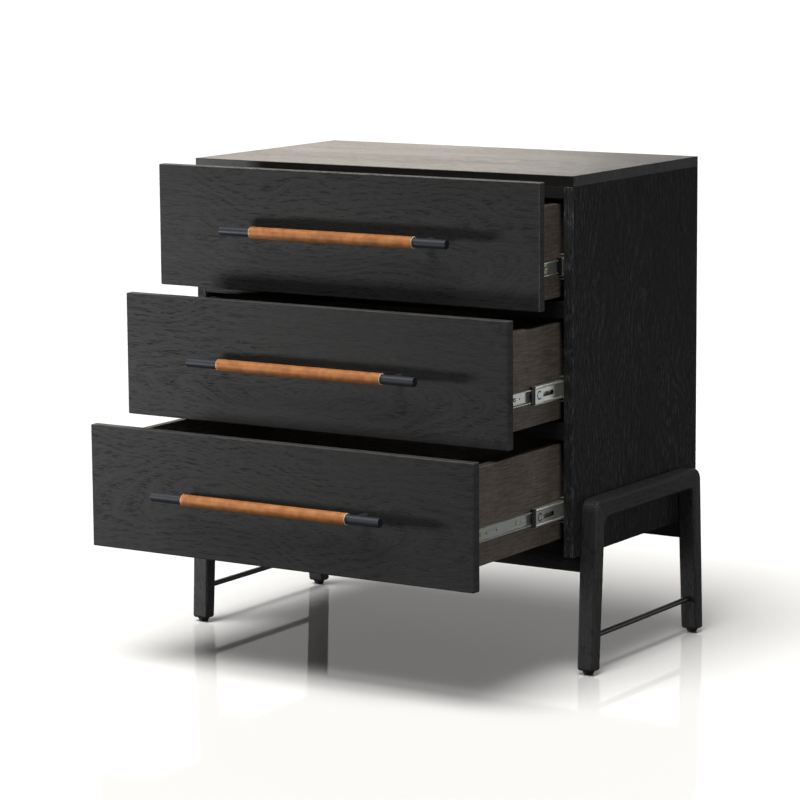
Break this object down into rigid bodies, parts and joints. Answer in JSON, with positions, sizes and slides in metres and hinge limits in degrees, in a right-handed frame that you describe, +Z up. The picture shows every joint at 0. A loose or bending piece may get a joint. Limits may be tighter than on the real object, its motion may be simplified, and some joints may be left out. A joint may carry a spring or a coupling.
{
  "type": "nightstand with drawers",
  "caption": "Black-stained oak chest of full-width drawers on ball-bearing slides, with leather-sleeved bar handles, standing on splayed end frames.",
  "frame": {"origin": "on the floor, under the centre of the object's box as it stands with its drawers partly open", "axes": "+Z up, +X to the right of someone facing the drawers, drawers open towards -Y"},
  "size_m": [0.827, 0.798, 0.838],
  "materials": {
    "stained_oak": "open-grain oak, black stained and matt lacquered",
    "box_board": "board faced with a taupe linen-weave foil",
    "slide_steel": "bright zinc plate",
    "screw_steel": "yellow passivated zinc",
    "handle_metal": "satin blue-black powder coat",
    "sleeve_leather": "vegetable-tanned tan leather, waxed",
    "rod_metal": "satin black powder coat",
    "foot_plastic": "moulded black nylon",
    "bumper_rubber": "translucent soft bumper"
  },
  "bodies": {
    "cabinet": {"top_slab": "stained_oak", "left_side_panel": "stained_oak", "right_side_panel": "stained_oak", "bottom_panel": "stained_oak", "back_panel": "stained_oak", "top_rail": "stained_oak", "upper_divider_rail": "stained_oak", "lower_divider_rail": "stained_oak", "front_cross_rail": "stained_oak", "rear_cross_rail": "stained_oak", "left_frame_rail": "stained_oak", "left_front_leg": "stained_oak", "left_rear_leg": "stained_oak", "right_frame_rail": "stained_oak", "right_front_leg": "stained_oak", "right_rear_leg": "stained_oak", "left_stretcher": "rod_metal", "right_stretcher": "rod_metal", "levelling_feet": "foot_plastic", "frame_bolts": "slide_steel", "left_cabinet_slides": "slide_steel", "right_cabinet_slides": "slide_steel", "cabinet_slide_screws": "screw_steel", "front_bumpers": "bumper_rubber"},
    "bottom_slides": {"bottom_middle_slides": "slide_steel"},
    "bottom_drawer": {"bottom_drawer_front": "stained_oak", "bottom_drawer_inner_front": "box_board", "bottom_drawer_left_side": "box_board", "bottom_drawer_right_side": "box_board", "bottom_drawer_back": "box_board", "bottom_drawer_bottom": "box_board", "bottom_handle_bar": "handle_metal", "bottom_handle_sleeve": "sleeve_leather", "bottom_handle_posts": "handle_metal", "bottom_drawer_slides": "slide_steel", "bottom_drawer_screws": "screw_steel"},
    "middle_slides": {"middle_middle_slides": "slide_steel"},
    "middle_drawer": {"middle_drawer_front": "stained_oak", "middle_drawer_inner_front": "box_board", "middle_drawer_left_side": "box_board", "middle_drawer_right_side": "box_board", "middle_drawer_back": "box_board", "middle_drawer_bottom": "box_board", "middle_handle_bar": "handle_metal", "middle_handle_sleeve": "sleeve_leather", "middle_handle_posts": "handle_metal", "middle_drawer_slides": "slide_steel", "middle_drawer_screws": "screw_steel"},
    "top_slides": {"top_middle_slides": "slide_steel"},
    "top_drawer": {"top_drawer_front": "stained_oak", "top_drawer_inner_front": "box_board", "top_drawer_left_side": "box_board", "top_drawer_right_side": "box_board", "top_drawer_back": "box_board", "top_drawer_bottom": "box_board", "top_handle_bar": "handle_metal", "top_handle_sleeve": "sleeve_leather", "top_handle_posts": "handle_metal", "top_drawer_slides": "slide_steel", "top_drawer_screws": "screw_steel"}
  },
  "joints": [
    {"name": "bottom_outer_stage", "type": "slide", "parent": "cabinet", "child": "bottom_slides", "axis": [0, -1, 0], "range_m": [-0.087, 0.113]},
    {"name": "bottom_inner_stage", "type": "slide", "parent": "bottom_slides", "child": "bottom_drawer", "axis": [0, -1, 0], "range_m": [-0.209, 0.001]},
    {"name": "middle_outer_stage", "type": "slide", "parent": "cabinet", "child": "middle_slides", "axis": [0, -1, 0], "range_m": [-0.089, 0.111]},
    {"name": "middle_inner_stage", "type": "slide", "parent": "middle_slides", "child": "middle_drawer", "axis": [0, -1, 0], "range_m": [-0.101, 0.109]},
    {"name": "top_outer_stage", "type": "slide", "parent": "cabinet", "child": "top_slides", "axis": [0, -1, 0], "range_m": [0, 0.2]},
    {"name": "top_inner_stage", "type": "slide", "parent": "top_slides", "child": "top_drawer", "axis": [0, -1, 0], "range_m": [-0.09, 0.12]}
  ]
}
